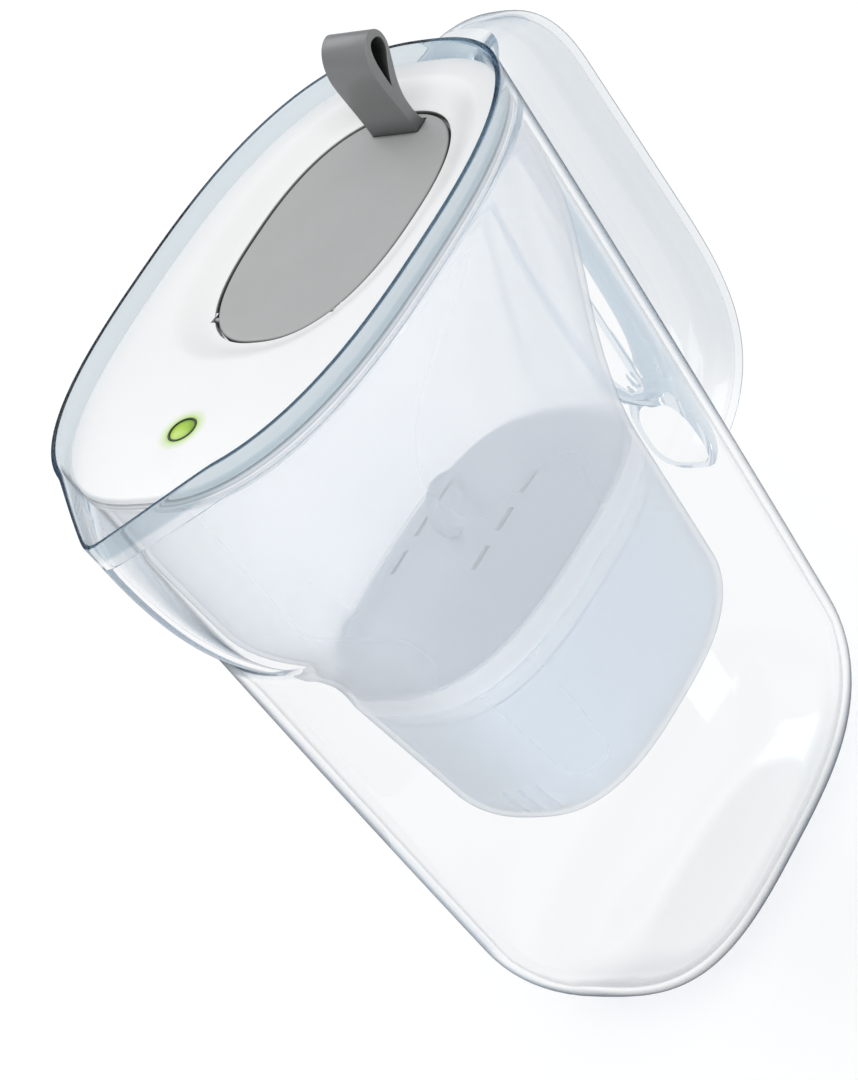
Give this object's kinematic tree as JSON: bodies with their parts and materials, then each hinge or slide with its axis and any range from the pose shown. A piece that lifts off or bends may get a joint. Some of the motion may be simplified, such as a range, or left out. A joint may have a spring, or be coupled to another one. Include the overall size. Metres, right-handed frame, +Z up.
{
  "type": "water filter pitcher",
  "caption": "Clear oval pitcher with a hanging funnel and filter cartridge, a white lid with a grey hinged fill flap and loop tab, a round light, a pour spout and a hollow handle.",
  "frame": {"origin": "on the base's resting plane, under the middle of the rim", "axes": "+X towards the handle, -X towards the spout, +Y across the jug, +Z up through the rim"},
  "size_m": [0.2586, 0.1124, 0.2938],
  "materials": {
    "clear_jug": "clear, slightly blue, polished",
    "frosted_funnel": "frosted translucent, satin",
    "white_lid": "white, fine satin",
    "grey_flap": "mid grey, matte",
    "dark_grey_tab": "dark grey, satin",
    "green_lens": "lime green, glossy, lit from below",
    "black_trim": "near black",
    "spring_rubber": "silicone, matte",
    "case_plastic": "off-white, matte",
    "seal_rubber": "black, matte",
    "circuit_board": "green solder mask",
    "led_body": "pale yellow, glossy",
    "contact_metal": "bright",
    "cell_steel": "brushed",
    "cartridge_plastic": "white, satin",
    "cartridge_seal": "pale translucent, satin",
    "mesh_plastic": "white, matte",
    "filter_media": "beige and black grains"
  },
  "bodies": {
    "jug": {"jug": "clear_jug"},
    "funnel": {"funnel": "frosted_funnel"},
    "lid": {"lid_top": "white_lid", "lid_base": "white_lid", "indicator_bezel": "black_trim", "indicator_dome": "spring_rubber", "indicator_cap": "case_plastic", "indicator_seal": "seal_rubber", "indicator_case": "case_plastic", "indicator_board": "circuit_board", "indicator_led": "led_body", "indicator_contact_upper": "contact_metal", "indicator_cell": "cell_steel", "indicator_contact_lower": "contact_metal"},
    "flap": {"flap": "grey_flap", "flap_tab": "dark_grey_tab"},
    "button": {"indicator_lens": "green_lens"},
    "cartridge": {"cartridge_cup": "cartridge_plastic", "cartridge_top": "cartridge_plastic", "cartridge_seal": "cartridge_seal", "cartridge_mesh_upper": "mesh_plastic", "cartridge_mesh_lower": "mesh_plastic", "cartridge_fill": "filter_media"}
  },
  "joints": [
    {"name": "funnel_lift", "type": "slide", "parent": "jug", "child": "funnel", "axis": [0, 0, 1], "range_m": [0, 0.22]},
    {"name": "lid_lift", "type": "slide", "parent": "funnel", "child": "lid", "axis": [0, 0, 1], "range_m": [0, 0.08]},
    {"name": "flap_hinge", "type": "hinge", "parent": "lid", "child": "flap", "pos_m": [-0.012, 0, 0.2585], "axis": [0, -1, 0], "range_deg": [0, 95]},
    {"name": "lens_press", "type": "slide", "parent": "lid", "child": "button", "axis": [0, 0, -1], "range_m": [0, 0.0008], "stiffness_N_per_m": 800, "springref_m": -0.0003, "deforming": ["indicator_dome"]},
    {"name": "cartridge_lift", "type": "slide", "parent": "funnel", "child": "cartridge", "axis": [0, 0, 1], "range_m": [0, 0.065]}
  ]
}
